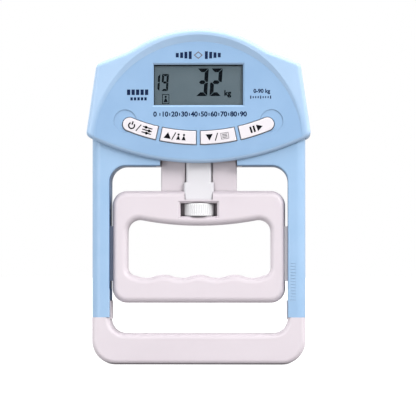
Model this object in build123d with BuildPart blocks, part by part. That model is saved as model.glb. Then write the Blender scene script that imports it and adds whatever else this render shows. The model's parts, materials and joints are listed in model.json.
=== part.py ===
from build123d import *
import os
from math import cos, degrees, radians, sin, sqrt

os.makedirs("parts", exist_ok=True)

# Hand dynamometer. X runs to the right, Y to the back, Z up. The origin is under the middle of the base.
# All sizes are millimetres.

# ---------------------------------------------------------------- driving dimensions
total_height = 183.2
frame_half_width = 58.3  # outer face of a leg
opening_half_width = 48.6  # inner face of a leg
crossbar_underside = 108.4
split_height = 25.7  # where the blue frame meets the white base
base_bar_top = 16.7

rim_y = -14.0  # crest of the head rim, the foremost line
panel_y = -12.2  # flat display panel
cover_inside_y = -10.0  # inner face of the panel
leg_front_y = -9.2
parting_y = 2.0  # where the front and rear shells meet
back_y = 14.0
wall = 2.2
gap = 0.3  # clearance between moving pieces
seam_depth = 0.35
seam_half_width = 0.22

crown_radius = 63.8
crown_center_z = total_height - crown_radius
smile_radius = 133.5  # lower edge of the head
smile_low_z = 109.9
smile_center_z = smile_low_z + smile_radius

handle_half_width = 47.25
handle_bottom = 33.6
handle_top = 94.8
handle_front_y = -7.2
handle_parting_y = 1.0
handle_back_y = 9.2

wheel_radius = 8.2
wheel_bottom = 80.9
wheel_top = 88.1
spindle_radius = 3.0
tube_half_width = 6.9  # the stem's upper part, flat in front
tube_back_y = 6.6
sleeve_half_width = 8.3  # the stem's lower part, which the handle holds
sleeve_back_y = 7.0
stem_front_y = -6.3
stem_edge_radius = 1.6
sleeve_bottom = 90.0
sleeve_top = 99.5
tongue_half_width = 20.75
tongue_front_y = -3.6
tongue_back_y = 0.95

cell_bottom = 133.5
cell_top = 146.0
board_front_y = -8.2
board_back_y = -7.0


def facing(y):
    """Sketch plane at depth y. Extrusions from it run towards the front."""
    return Plane.XZ.offset(-y)


def level(z, x=0.0, y=0.0):
    """Horizontal sketch plane at height z, with its origin at x, y."""
    return Plane.XY.offset(z).move(Location((x, y, 0)))


def finish_piece(piece, name):
    """Label a finished piece and write its file."""
    piece.part.label = name
    export_step(piece.part, f"parts/{name}.step")


def mirrored(x, z):
    """The same point on both sides of the middle."""
    return [(-x, z), (x, z)]


def cut_seam(profile, seam_y, towards_front):
    """Cut half of the shallow groove that marks the seam at seam_y, all round that profile."""
    with BuildSketch(facing(seam_y if towards_front else seam_y + seam_half_width)) as groove:
        add(profile)
        offset(profile, amount=-seam_depth, mode=Mode.SUBTRACT)
    extrude(groove.sketch, amount=seam_half_width, mode=Mode.SUBTRACT)


def stem_section(z, half_width, rear_y, grow=0.0):
    """Section of the stem at height z: a block with rounded corners, grown all round by grow."""
    depth = rear_y - stem_front_y
    with BuildSketch(level(z, y=(rear_y + stem_front_y) / 2)) as made:
        RectangleRounded(2 * (half_width + grow), depth + 2 * grow, stem_edge_radius + grow)
    return made.sketch


def screw_set(spots, head_y, tip_y, head_radius=2.3, shank_radius=1.2, head_height=1.4):
    """Pan-head screws driven forward from behind, with a cross recess in each head."""
    seat_y = head_y - head_height
    with BuildPart() as made:
        with BuildSketch(facing(head_y)):
            with Locations(*spots):
                Circle(head_radius)
        extrude(amount=head_height)
        with BuildSketch(facing(seat_y)):
            with Locations(*spots):
                Circle(shank_radius)
        extrude(amount=seat_y - tip_y)
        with BuildSketch(facing(head_y)):
            with Locations(*spots):
                Rectangle(head_radius * 1.3, 0.5)
                Rectangle(0.5, head_radius * 1.3)
        extrude(amount=head_height * 0.55, mode=Mode.SUBTRACT)
    return made


# ---------------------------------------------------------------- profiles
shoulder_slope = 0.38
shoulder_meets_crown_x = 37.0
shoulder_meets_crown_z = crown_center_z + sqrt(crown_radius**2 - shoulder_meets_crown_x**2)
shoulder_corner_x = 55.67
shoulder_corner_z = shoulder_meets_crown_z - shoulder_slope * (shoulder_corner_x - shoulder_meets_crown_x)
cheek_corner_x = 61.5
cheek_corner_z = smile_center_z - sqrt(smile_radius**2 - cheek_corner_x**2)

with BuildSketch() as head_profile:
    with BuildLine():
        ThreePointArc(
            (-shoulder_meets_crown_x, shoulder_meets_crown_z),
            (0, total_height),
            (shoulder_meets_crown_x, shoulder_meets_crown_z),
        )
        for side in (-1, 1):
            Polyline(
                (side * shoulder_meets_crown_x, shoulder_meets_crown_z),
                (side * shoulder_corner_x, shoulder_corner_z),
                (side * cheek_corner_x, cheek_corner_z),
            )
        ThreePointArc((-cheek_corner_x, cheek_corner_z), (0, smile_low_z), (cheek_corner_x, cheek_corner_z))
    make_face()
    fillet(head_profile.vertices().group_by(Axis.Y)[-1], 32)
    fillet(head_profile.vertices().group_by(Axis.X)[0], 3.3)
    fillet(head_profile.vertices().group_by(Axis.X)[-1], 3.3)
    fillet([v for v in head_profile.vertices() if abs(abs(v.X) - shoulder_corner_x) < 0.01], 3.6)

frame_arc_radius = smile_radius - 4.0  # the frame's top edge, hidden behind the head cover
frame_top_at_side = smile_center_z - sqrt(frame_arc_radius**2 - frame_half_width**2)

with BuildSketch() as frame_profile:
    with BuildLine():
        ThreePointArc(
            (-frame_half_width, frame_top_at_side),
            (0, smile_center_z - frame_arc_radius),
            (frame_half_width, frame_top_at_side),
        )
        Polyline(
            (-frame_half_width, frame_top_at_side),
            (-frame_half_width, split_height),
            (-opening_half_width, split_height),
            (-opening_half_width, crossbar_underside),
            (opening_half_width, crossbar_underside),
            (opening_half_width, split_height),
            (frame_half_width, split_height),
            (frame_half_width, frame_top_at_side),
        )
    make_face()
    fillet([v for v in frame_profile.vertices() if abs(v.Y - crossbar_underside) < 0.01], 8.6)

leg_hollow_width = frame_half_width - opening_half_width - 2 * wall
leg_middle_x = (frame_half_width + opening_half_width) / 2

with BuildSketch() as frame_hollow:
    offset(frame_profile.sketch, amount=-wall, mode=Mode.ADD)
    with Locations((-leg_middle_x, split_height + 10), (leg_middle_x, split_height + 10)):
        Rectangle(leg_hollow_width, 20)
    with Locations((0, crossbar_underside + wall + 15)):
        Rectangle(2 * (frame_half_width - wall), 30)

with BuildSketch() as base_profile:
    with BuildLine():
        Polyline(
            (-frame_half_width, 0),
            (frame_half_width, 0),
            (frame_half_width, split_height),
            (opening_half_width, split_height),
            (opening_half_width, base_bar_top),
            (-opening_half_width, base_bar_top),
            (-opening_half_width, split_height),
            (-frame_half_width, split_height),
            close=True,
        )
    make_face()
    fillet(base_profile.vertices().group_by(Axis.Y)[0], 13)
    fillet([v for v in base_profile.vertices() if abs(v.Y - base_bar_top) < 0.01], 8.2)

finger_half_width = 39.15
finger_top_middle = 75.9
finger_top_side = 80.5
finger_floor = 47.2
finger_crest = 48.9
finger_pitch = 19.5
finger_mean = (finger_floor + finger_crest) / 2
finger_swing = (finger_crest - finger_floor) / 2

with BuildSketch() as finger_profile:
    with BuildLine():
        ThreePointArc(
            (-finger_half_width, finger_top_side),
            (0, finger_top_middle),
            (finger_half_width, finger_top_side),
        )
        # Finger scallops: equal arcs that bend down and up in turn and meet in line.
        for half_step in range(-3, 4):
            middle = half_step * finger_pitch / 2
            height = finger_floor if half_step % 2 else finger_crest
            ThreePointArc(
                (middle - finger_pitch / 4, finger_mean),
                (middle, height),
                (middle + finger_pitch / 4, finger_mean),
            )
        wave_radius = ((finger_pitch / 4) ** 2 + finger_swing**2) / (2 * finger_swing)
        for side in (-1, 1):
            short_of_crest = 2.4
            near_x = side * (2 * finger_pitch - short_of_crest)
            near_z = finger_crest - wave_radius + sqrt(wave_radius**2 - short_of_crest**2)
            ThreePointArc(
                (side * finger_pitch * 1.75, finger_mean),
                (near_x, near_z),
                (side * finger_half_width, finger_crest),
            )
        for side in (-1, 1):
            Line((side * finger_half_width, finger_crest), (side * finger_half_width, finger_top_side))
    make_face()
    fillet([v for v in finger_profile.vertices() if abs(v.Y - finger_top_side) < 0.01], 6.5)
    side_corners = [v for v in finger_profile.vertices() if abs(v.X) > finger_half_width - 0.01]
    fillet([v for v in side_corners if v.Y < 60], 4.4)

with BuildSketch() as handle_profile:
    with Locations((0, (handle_top + handle_bottom) / 2)):
        RectangleRounded(2 * handle_half_width, handle_top - handle_bottom, 8)
    add(finger_profile.sketch, mode=Mode.SUBTRACT)

# ---------------------------------------------------------------- head front cover
window_width = 48.6
window_height = 22.1
window_z = 152.5
dish_radius = 6.3
dish_spot = (39.9, 132.7)
cove_outer_radius = 60.5
cove_inner_radius = 56.7
head_tilt_rise = rim_y - panel_y
head_tilt_foot_z = 121.0
head_edge_radius = 2.4
cover_boss_spots = mirrored(51.5, 137.5) + mirrored(45.0, 156.5)
board_boss_spots = mirrored(43.5, 138.5) + mirrored(30.8, 167.0)

# The keys lie between two concentric arcs. Each key is a sector, and the outer two end in a half round.
key_arc_center_z = 222.6
key_outer_radius = 102.6
key_inner_radius = 95.4
key_middle_radius = (key_outer_radius + key_inner_radius) / 2
key_half_height = (key_outer_radius - key_inner_radius) / 2
inner_key_angles = (0.75, 11.75)
outer_key_angles = (13.2, 22.3)


def key_sketch(angles, side, rounded, grow=0.0):
    """Profile of one key: a piece of ring from the first angle to the second, grown all round by grow."""
    ring_width = key_outer_radius - key_inner_radius
    first, last = angles
    turn = degrees(grow / key_middle_radius)
    start, size = -90 + first - turn, last - first + 2 * turn
    if rounded:
        size -= turn
    with BuildSketch() as made:
        with BuildLine():
            arc = CenterArc((0, key_arc_center_z), key_outer_radius + grow, start, size)
            other = CenterArc((0, key_arc_center_z), key_inner_radius - grow, start, size)
            Line(arc @ 0, other @ 0)
            Line(arc @ 1, other @ 1)
        make_face()
        if rounded:
            end = radians(start + size)
            spot = (key_middle_radius * cos(end), key_arc_center_z + key_middle_radius * sin(end))
            with Locations(spot):
                Circle(ring_width / 2 + grow)
    sketch = made.sketch
    return sketch if side > 0 else sketch.mirror(Plane.YZ)


key_plan = {
    "key_set": (outer_key_angles, -1, True),
    "key_up": (inner_key_angles, -1, False),
    "key_down": (inner_key_angles, 1, False),
    "key_start": (outer_key_angles, 1, True),
}
key_gap = 0.4
key_holes = [key_sketch(*plan, grow=key_gap) for plan in key_plan.values()]


def head_front_y(z):
    """Depth of the head's leaning front at height z."""
    crest_z = total_height - head_edge_radius
    return panel_y + head_tilt_rise * (z - head_tilt_foot_z) / (crest_z - head_tilt_foot_z)


with BuildPart() as head_front_cover:
    with BuildSketch(facing(parting_y)):
        add(head_profile.sketch)
    extrude(amount=parting_y - rim_y + 1)
    # The front leans back towards the chin, so that the recess fades out at the sides.
    with BuildSketch(Plane.YZ):
        with BuildLine():
            Polyline(
                (head_front_y(total_height + 1), total_height + 1),
                (rim_y - 5, total_height + 1),
                (rim_y - 5, smile_low_z - 1),
                (head_front_y(smile_low_z - 1), smile_low_z - 1),
                close=True,
            )
        make_face()
    extrude(amount=2 * cheek_corner_x, both=True, mode=Mode.SUBTRACT)
    fillet(head_front_cover.faces().sort_by(Axis.Y)[0].edges(), head_edge_radius)
    # Cove that steps down from the rim to the display panel.
    with BuildSketch(Plane.YZ):
        with BuildLine():
            cove_depth = 2 * head_tilt_rise
            cove_reach = 2 * (cove_outer_radius - cove_inner_radius)
            cove_foot_z = crown_center_z + cove_inner_radius
            Polyline(
                (panel_y, crown_center_z),
                (panel_y, cove_foot_z),
                (panel_y + cove_depth, cove_foot_z + cove_reach),
                (panel_y + cove_depth, crown_center_z),
                close=True,
            )
        make_face()
    revolve(axis=Axis((0, 0, crown_center_z), (0, 1, 0)), revolution_arc=360, mode=Mode.SUBTRACT)
    # Hollow from behind.
    with BuildSketch(facing(parting_y)):
        offset(head_profile.sketch, amount=-wall, mode=Mode.ADD)
    extrude(amount=parting_y - cover_inside_y, mode=Mode.SUBTRACT)
    # The chin hangs over the frame's front, so its lower wall is cut away behind.
    with BuildSketch(facing(parting_y)):
        with Locations((0, smile_center_z)):
            Circle(smile_radius + 20)
            Circle(frame_arc_radius - gap, mode=Mode.SUBTRACT)
        with Locations((0, smile_low_z + 5)):
            Rectangle(2 * (frame_half_width + gap), 60, mode=Mode.INTERSECT)
    extrude(amount=parting_y - leg_front_y + gap / 2, mode=Mode.SUBTRACT)
    # Bosses for the case screws and for the circuit board.
    with BuildSketch(facing(parting_y)):
        with Locations(*cover_boss_spots):
            Circle(3.0)
    extrude(amount=parting_y - cover_inside_y)
    with BuildSketch(facing(board_front_y)):
        with Locations(*board_boss_spots):
            Circle(2.2)
    extrude(amount=board_front_y - cover_inside_y)
    with BuildSketch(facing(parting_y)):
        with Locations(*cover_boss_spots):
            Circle(1.25)
    extrude(amount=9, mode=Mode.SUBTRACT)
    with BuildSketch(facing(board_front_y)):
        with Locations(*board_boss_spots):
            Circle(0.9)
    extrude(amount=2.4, mode=Mode.SUBTRACT)
    # Display window, with a seat for the lens behind it and a bevel in front.
    with BuildSketch(facing(cover_inside_y)):
        with Locations((0, window_z)):
            Rectangle(window_width + 3.0, window_height + 3.0)
    extrude(amount=1.2, mode=Mode.SUBTRACT)
    with BuildSketch(facing(cover_inside_y)):
        with Locations((0, window_z)):
            Rectangle(window_width, window_height)
    extrude(amount=6, mode=Mode.SUBTRACT)
    with BuildSketch(facing(panel_y + 0.9)):
        with Locations((0, window_z)):
            Rectangle(window_width, window_height)
    extrude(amount=1.0, taper=-45, mode=Mode.SUBTRACT)
    # Key openings and the shallow dish round each outer key.
    with BuildSketch(facing(cover_inside_y)):
        for hole in key_holes:
            add(hole)
    extrude(amount=6, mode=Mode.SUBTRACT)
    with BuildSketch(facing(panel_y + 0.35)):
        with Locations(*mirrored(*dish_spot)):
            Circle(dish_radius)
    extrude(amount=3, mode=Mode.SUBTRACT)
    cut_seam(head_profile.sketch, parting_y, True)
finish_piece(head_front_cover, "head_front_cover")

# ---------------------------------------------------------------- display stack
with BuildPart() as display_lens:
    with BuildSketch(facing(cover_inside_y)):
        with Locations((0, window_z)):
            Rectangle(window_width + 2.6, window_height + 2.6)
    extrude(amount=1.1)
finish_piece(display_lens, "display_lens")

lcd_width = 51.0
lcd_height = 26.0
lcd_back_y = -8.9

with BuildPart() as lcd_panel:
    with BuildSketch(facing(lcd_back_y)):
        with Locations((0, window_z)):
            Rectangle(lcd_width, lcd_height)
    extrude(amount=1.0)
finish_piece(lcd_panel, "lcd_panel")

with BuildPart() as lcd_holder:
    with BuildSketch(facing(board_front_y)):
        with Locations((0, window_z)):
            Rectangle(lcd_width + 4.4, lcd_height + 4.0)
            Rectangle(lcd_width + 0.3, lcd_height + 0.3, mode=Mode.SUBTRACT)
    extrude(amount=board_front_y - cover_inside_y)
finish_piece(lcd_holder, "lcd_holder")

with BuildPart() as zebra_connector:
    with BuildSketch(facing(board_front_y)):
        with Locations((0, window_z - lcd_height / 2 + 1.4)):
            Rectangle(46, 1.6)
    extrude(amount=board_front_y - lcd_back_y)
finish_piece(zebra_connector, "zebra_connector")

# ---------------------------------------------------------------- circuit board
with BuildPart() as circuit_board:
    with BuildSketch(facing(board_back_y)):
        with Locations((0, 128)):
            Rectangle(93, 27)
        with Locations((0, 154)):
            Rectangle(66.5, 32)
        with Locations((0, smile_center_z)):
            Circle(frame_arc_radius - 1, mode=Mode.INTERSECT)
        with Locations(*board_boss_spots):
            Circle(1.1, mode=Mode.SUBTRACT)
    extrude(amount=board_back_y - board_front_y)
finish_piece(circuit_board, "circuit_board")

with BuildPart() as processor_chip:
    with BuildSketch(facing(board_back_y + 1.1)):
        with Locations((-24, 126)):
            Rectangle(9, 9)
    extrude(amount=1.1)
    chamfer(processor_chip.faces().sort_by(Axis.Y)[-1].edges(), 0.2)
finish_piece(processor_chip, "processor_chip")

board_screws = screw_set(board_boss_spots, board_back_y + 1.2, board_front_y - 1.6, 1.9, 0.85, 1.2)
finish_piece(board_screws, "board_screws")


def on_key_arc(angle, side):
    """Point on the middle line of the keys."""
    return (
        side * key_middle_radius * sin(radians(angle)),
        key_arc_center_z - key_middle_radius * cos(radians(angle)),
    )


key_center = {
    name: on_key_arc(sum(angles) / 2, side) for name, (angles, side, rounded) in key_plan.items()
}

with BuildPart() as key_domes:
    with BuildSketch(facing(board_front_y)):
        with Locations(*key_center.values()):
            Circle(2.4)
    extrude(amount=0.4, taper=35)
finish_piece(key_domes, "key_domes")

# ---------------------------------------------------------------- keys
key_face_y = panel_y - 0.6
key_flange_y = cover_inside_y + 0.1

for name, plan in key_plan.items():
    cap, flange = key_sketch(*plan), key_sketch(*plan, grow=0.8)
    with BuildPart() as key:
        with BuildSketch(facing(key_flange_y)):
            add(cap)
        extrude(amount=key_flange_y - key_face_y)
        fillet(key.faces().sort_by(Axis.Y)[0].edges(), 0.35)
        with BuildSketch(facing(key_flange_y + 0.6)):
            add(flange)
        extrude(amount=0.6)
        with BuildSketch(facing(key_flange_y + 0.7)):
            with Locations(key_center[name]):
                Circle(1.5)
        extrude(amount=0.2)
    finish_piece(key, name)

# ---------------------------------------------------------------- frame shells
tab_bottom = 45.6
tab_top = 75.5
tab_front_y = -5.5
tab_back_y = -2.5
travel_up = 7.8
travel_down = 10.7
post_top = 34.6
notch_top = 41.2
leg_screw_high = mirrored(leg_middle_x, 97)
leg_screw_low = mirrored(leg_middle_x, 30)
collar_half_width = 23.6
collar_back_y = 8.8
scale_marks = 13
scale_pitch = 1.65
scale_mark_depth = 0.15
scale_middle = (51.5, 45.0)
tongue_notch_top = 112.4


def round_the_opening(edge):
    """True for an edge that borders the frame's grip opening."""
    spot = edge.center()
    return abs(spot.X) < leg_middle_x - 2 and split_height + 1 < spot.Z < crossbar_underside + 0.01


with BuildPart() as frame_front_shell:
    with BuildSketch(facing(parting_y)):
        add(frame_profile.sketch)
    extrude(amount=parting_y - leg_front_y)
    front_edges = frame_front_shell.faces().sort_by(Axis.Y)[0].edges()
    outer_edges = [e for e in front_edges if abs(abs(e.center().X) - frame_half_width) < 0.01]
    fillet(outer_edges, 5.0)
    front_edges = frame_front_shell.faces().sort_by(Axis.Y)[0].edges()
    fillet([e for e in front_edges if round_the_opening(e)], 1.0)
    with BuildSketch(facing(parting_y)):
        add(frame_hollow.sketch)
    extrude(amount=parting_y - leg_front_y - wall, mode=Mode.SUBTRACT)
    # Seat for the guide collar in the underside of the cross bar.
    with BuildSketch(level(crossbar_underside - 1)):
        with Locations((0, (leg_front_y + wall + parting_y) / 2)):
            Rectangle(2 * collar_half_width, parting_y - leg_front_y - wall)
    extrude(amount=wall + 1, mode=Mode.SUBTRACT)
    # Notch in the cross bar's front, which leaves the tongue in view up to the chin.
    with BuildSketch(facing(parting_y)):
        with Locations((0, (crossbar_underside - 1 + tongue_notch_top) / 2)):
            Rectangle(2 * (tongue_half_width + gap), tongue_notch_top - crossbar_underside + 1)
    extrude(amount=parting_y - leg_front_y + 1, mode=Mode.SUBTRACT)
    # The inner wall stops above the base post.
    with BuildSketch(facing(parting_y)):
        with Locations(*mirrored(opening_half_width + wall / 2, (split_height + notch_top) / 2)):
            Rectangle(wall + 0.02, notch_top - split_height)
    extrude(amount=parting_y - leg_front_y - wall - 0.5, mode=Mode.SUBTRACT)
    # Long slots in the inner walls for the handle's side guides.
    with BuildSketch(facing(parting_y)):
        slot_top = tab_top + travel_up + 1.5
        with Locations(*mirrored(opening_half_width + wall / 2, (post_top + slot_top) / 2)):
            Rectangle(wall + 0.02, slot_top - post_top)
    extrude(amount=parting_y - tab_front_y + gap, mode=Mode.SUBTRACT)
    # Screw bosses, and the row of scale marks on the right leg.
    with BuildSketch(facing(parting_y)):
        with Locations(*leg_screw_high):
            Circle(2.4)
            Circle(1.25, mode=Mode.SUBTRACT)
    extrude(amount=parting_y - leg_front_y - wall + 0.1)
    with BuildSketch(facing(leg_front_y + scale_mark_depth)):
        with Locations(scale_middle):
            with GridLocations(0, scale_pitch, 1, scale_marks):
                Rectangle(2.7, 0.5)
    extrude(amount=1, mode=Mode.SUBTRACT)
    cut_seam(frame_profile.sketch, parting_y, True)
finish_piece(frame_front_shell, "frame_front_shell")

# Battery bay: two cells side by side across the back of the head.
cell_spots_z = (156.3, 167.3)
battery_y = 6.3
battery_radius = 5.2
battery_length = 44.5
bay_half_width = 26.5
bay_bottom = 150.6
bay_top = 173.0
bay_floor_y = 0.8
door_half_width = 27.6
door_bottom = 149.9
door_top = 173.7
door_inside_y = 12.2

with BuildPart() as head_back:
    with BuildSketch(facing(back_y)):
        add(head_profile.sketch)
    extrude(amount=back_y - parting_y)
    fillet(head_back.faces().sort_by(Axis.Y)[-1].edges(), 3.0)

with BuildPart() as frame_rear_shell:
    with BuildSketch(facing(back_y)):
        add(frame_profile.sketch)
    extrude(amount=back_y - parting_y)
    back_edges = frame_rear_shell.faces().sort_by(Axis.Y)[-1].edges()
    outer_edges = [e for e in back_edges if abs(abs(e.center().X) - frame_half_width) < 0.01]
    fillet(outer_edges, 4.0)
    back_edges = frame_rear_shell.faces().sort_by(Axis.Y)[-1].edges()
    fillet([e for e in back_edges if round_the_opening(e)], 1.5)
    add(head_back.part)
    with BuildSketch(facing(back_y - wall)):
        add(frame_hollow.sketch)
        offset(head_profile.sketch, amount=-wall, mode=Mode.ADD)
    extrude(amount=back_y - wall - parting_y, mode=Mode.SUBTRACT)
    # Battery bay walls, its hollow and the seat for the door.
    with BuildSketch(facing(back_y - wall)):
        with Locations((0, (bay_bottom + bay_top) / 2)):
            Rectangle(2 * bay_half_width + 2.8, bay_top - bay_bottom + 2.4)
    extrude(amount=back_y - wall - bay_floor_y + 1.2)
    with BuildSketch(facing(back_y)):
        with Locations((0, (bay_bottom + bay_top) / 2)):
            Rectangle(2 * bay_half_width, bay_top - bay_bottom)
    extrude(amount=back_y - bay_floor_y, mode=Mode.SUBTRACT)
    with BuildSketch(facing(back_y)):
        with Locations((0, (door_bottom + door_top) / 2)):
            Rectangle(2 * door_half_width + 0.5, door_top - door_bottom + 0.5)
    extrude(amount=back_y - door_inside_y, mode=Mode.SUBTRACT)
    # Pockets for the door's two hinge tabs, below the bay.
    with BuildSketch(facing(door_inside_y)):
        with Locations(*mirrored(15, door_bottom - 0.2)):
            Rectangle(7.0, 5.0)
    extrude(amount=3.0, mode=Mode.SUBTRACT)
    # The inner walls stop above the base posts.
    with BuildSketch(facing(back_y - wall - 0.5)):
        with Locations(*mirrored(opening_half_width + wall / 2, (split_height + notch_top) / 2)):
            Rectangle(wall + 0.02, notch_top - split_height)
    extrude(amount=back_y - wall - 0.5 - parting_y, mode=Mode.SUBTRACT)
    # Seat for the guide collar.
    with BuildSketch(level(crossbar_underside - 1)):
        with Locations((0, (parting_y + collar_back_y) / 2)):
            Rectangle(2 * collar_half_width, collar_back_y - parting_y)
    extrude(amount=wall + 1, mode=Mode.SUBTRACT)
    # Screw bosses, their through holes and the sunk seats for the heads.
    case_screw_spots = cover_boss_spots + leg_screw_high
    with BuildSketch(facing(back_y - wall)):
        with Locations(*cover_boss_spots):
            Circle(3.4)
        with Locations(*leg_screw_high):
            Circle(2.4)
    extrude(amount=back_y - wall - parting_y)
    bracket_screw_spots = mirrored(40, 119) + mirrored(40, 127)
    with BuildSketch(facing(back_y - wall)):
        with Locations(*bracket_screw_spots):
            Circle(3.2)
    extrude(amount=1.9)
    with BuildSketch(facing(back_y - 0.7)):
        with Locations(*bracket_screw_spots):
            Circle(1.1)
    extrude(amount=5, mode=Mode.SUBTRACT)
    with BuildSketch(facing(back_y)):
        with Locations(*case_screw_spots):
            Circle(1.45)
    extrude(amount=back_y - parting_y, mode=Mode.SUBTRACT)
    with BuildSketch(facing(back_y)):
        with Locations(*cover_boss_spots):
            Circle(2.6)
        with Locations(*leg_screw_high):
            Circle(2.0)
    extrude(amount=3.5, mode=Mode.SUBTRACT)
    cut_seam(frame_profile.sketch, parting_y, False)
    cut_seam(head_profile.sketch, parting_y, False)
finish_piece(frame_rear_shell, "frame_rear_shell")

cover_screws = screw_set(cover_boss_spots, back_y - 2.1, parting_y - 8)
finish_piece(cover_screws, "cover_screws")
leg_top_screws = screw_set(leg_screw_high, back_y - 2.1, parting_y - 8, 1.9, 1.2)
finish_piece(leg_top_screws, "leg_top_screws")

# ---------------------------------------------------------------- guide collar in the cross bar
with BuildPart() as guide_collar:
    plug_front_y = leg_front_y + wall + 0.05
    plug_depth = collar_back_y - 0.05 - plug_front_y
    with BuildSketch(level(crossbar_underside, y=plug_front_y + plug_depth / 2)):
        Rectangle(2 * collar_half_width - 0.1, plug_depth)
    extrude(amount=wall)
    with BuildSketch(level(crossbar_underside + wall, y=plug_front_y + plug_depth / 2)):
        Rectangle(2 * collar_half_width + 5, plug_depth)
    extrude(amount=2.2)
    # The opening lies round the sides and the back of the tongue and the stem.
    with BuildSketch(level(crossbar_underside - 1)):
        add(stem_section(0, tube_half_width, tube_back_y, gap))
        with Locations((0, (plug_front_y - 1 + tongue_back_y + gap) / 2)):
            Rectangle(2 * (tongue_half_width + gap), tongue_back_y + gap - plug_front_y + 1)
    extrude(amount=8, mode=Mode.SUBTRACT)
finish_piece(guide_collar, "guide_collar")

# ---------------------------------------------------------------- load cell and its bracket
cell_left = -44.0
cell_right = 8.5
cell_half_depth = 5.0
flexure_spots = [(-22.5, 139.75), (-12.5, 139.75)]
cell_screw_spots = [(-38.5, 0), (-30.5, 0)]
bracket_thickness = 3.0
bracket_back_y = 9.9

with BuildPart() as load_cell:
    with BuildSketch(facing(cell_half_depth)):
        with Locations(((cell_left + cell_right) / 2, (cell_bottom + cell_top) / 2)):
            Rectangle(cell_right - cell_left, cell_top - cell_bottom)
        with Locations(*flexure_spots):
            Circle(4.4, mode=Mode.SUBTRACT)
        with Locations(((flexure_spots[0][0] + flexure_spots[1][0]) / 2, flexure_spots[0][1])):
            Rectangle(10, 3.0, mode=Mode.SUBTRACT)
    extrude(amount=2 * cell_half_depth)
    with BuildSketch(level(cell_bottom)):
        Circle(4.05)
        with Locations(*cell_screw_spots):
            Circle(2.05)
    extrude(amount=cell_top - cell_bottom, mode=Mode.SUBTRACT)
    chamfer(load_cell.edges().filter_by(Axis.Y).filter_by(lambda e: e.center().X < cell_left + 0.1), 0.5)
finish_piece(load_cell, "load_cell")

with BuildPart() as strain_gauges:
    for gauge_z in (cell_bottom - 0.25, cell_top):
        with BuildSketch(level(gauge_z)):
            with Locations(*[(x, 0) for x, z in flexure_spots]):
                Rectangle(6.0, 4.0)
        extrude(amount=0.25)
finish_piece(strain_gauges, "strain_gauges")

with BuildPart() as cell_bracket:
    plate_front_y = bracket_back_y - 2.0
    with BuildSketch(facing(bracket_back_y)):
        with Locations((0, 124)):
            Rectangle(92, 17)
        with Locations(*bracket_screw_spots):
            Circle(1.5, mode=Mode.SUBTRACT)
    extrude(amount=bracket_back_y - plate_front_y)
    shelf_middle_y = (bracket_back_y - cell_half_depth) / 2
    with BuildSketch(level(cell_bottom - bracket_thickness, x=-35, y=shelf_middle_y)):
        Rectangle(19, bracket_back_y + cell_half_depth)
    extrude(amount=bracket_thickness)
    with BuildSketch(level(cell_bottom - bracket_thickness)):
        with Locations(*cell_screw_spots):
            Circle(2.1)
    extrude(amount=bracket_thickness, mode=Mode.SUBTRACT)
finish_piece(cell_bracket, "cell_bracket")


def upright_screws(spots, head_z, tip_z, head_radius, shank_radius, head_height):
    """Socket-head screws along Z. The head stands on the side of head_z away from the tip."""
    turn = 1 if tip_z > head_z else -1
    with BuildPart() as made:
        with BuildSketch(level(head_z)):
            with Locations(*spots):
                Circle(head_radius)
        extrude(amount=-turn * head_height)
        with BuildSketch(level(head_z)):
            with Locations(*spots):
                Circle(shank_radius)
        extrude(amount=tip_z - head_z)
        with BuildSketch(level(head_z - turn * head_height)):
            with Locations(*spots):
                RegularPolygon(head_radius * 0.6, 6)
        extrude(amount=turn * head_height * 0.6, mode=Mode.SUBTRACT)
    return made


cell_screws = upright_screws(
    cell_screw_spots, cell_bottom - bracket_thickness, cell_top - 1, 3.5, 2.0, 3.5
)
finish_piece(cell_screws, "cell_screws")

with BuildPart() as bracket_screws:
    with BuildSketch(facing(plate_front_y)):
        with Locations(*bracket_screw_spots):
            Circle(2.5)
    extrude(amount=1.3)
    with BuildSketch(facing(back_y - 0.8)):
        with Locations(*bracket_screw_spots):
            Circle(1.05)
    extrude(amount=back_y - 0.8 - plate_front_y)
    with BuildSketch(facing(plate_front_y - 1.3)):
        with Locations(*bracket_screw_spots):
            Rectangle(3.0, 0.5)
            Rectangle(0.5, 3.0)
    extrude(amount=-0.7, mode=Mode.SUBTRACT)
finish_piece(bracket_screws, "bracket_screws")

# ---------------------------------------------------------------- spindle nut, lock nut
nut_barrel_bottom = 121.0
nut_flange_bottom = 129.5
lock_nut_top = cell_top + 3.4

with BuildPart() as spindle_nut:
    with BuildSketch(level(nut_barrel_bottom)):
        Circle(4.5)
    extrude(amount=nut_flange_bottom - nut_barrel_bottom)
    with BuildSketch(level(nut_flange_bottom)):
        Circle(6.8)
    extrude(amount=cell_bottom - nut_flange_bottom)
    with BuildSketch(level(cell_bottom)):
        Circle(4.0)
    extrude(amount=lock_nut_top - 0.3 - cell_bottom)
    with BuildSketch(level(nut_barrel_bottom)):
        Circle(spindle_radius + 0.05)
    extrude(amount=40, mode=Mode.SUBTRACT)
finish_piece(spindle_nut, "spindle_nut")

with BuildPart() as lock_nut:
    with BuildSketch(level(cell_top)):
        RegularPolygon(7.0, 6)
        Circle(4.02, mode=Mode.SUBTRACT)
    extrude(amount=lock_nut_top - cell_top)
finish_piece(lock_nut, "lock_nut")

# ---------------------------------------------------------------- batteries and contacts
def battery(z, flip):
    """One AAA cell along X with its raised plus terminal at the flip end."""
    with BuildPart() as made:
        with BuildSketch(Plane.YZ.offset(-battery_length / 2)):
            with Locations((battery_y, z)):
                Circle(battery_radius)
        extrude(amount=battery_length - 0.9)
        fillet(made.edges().filter_by(GeomType.CIRCLE), 0.5)
        with BuildSketch(Plane.YZ.offset(battery_length / 2 - 0.9)):
            with Locations((battery_y, z)):
                Circle(1.9)
        extrude(amount=0.9)
    return made if not flip else flipped(made)


def flipped(piece):
    """The same piece turned end for end along X."""
    with BuildPart() as made:
        add(piece.part.mirror(Plane.YZ))
    return made


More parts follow.
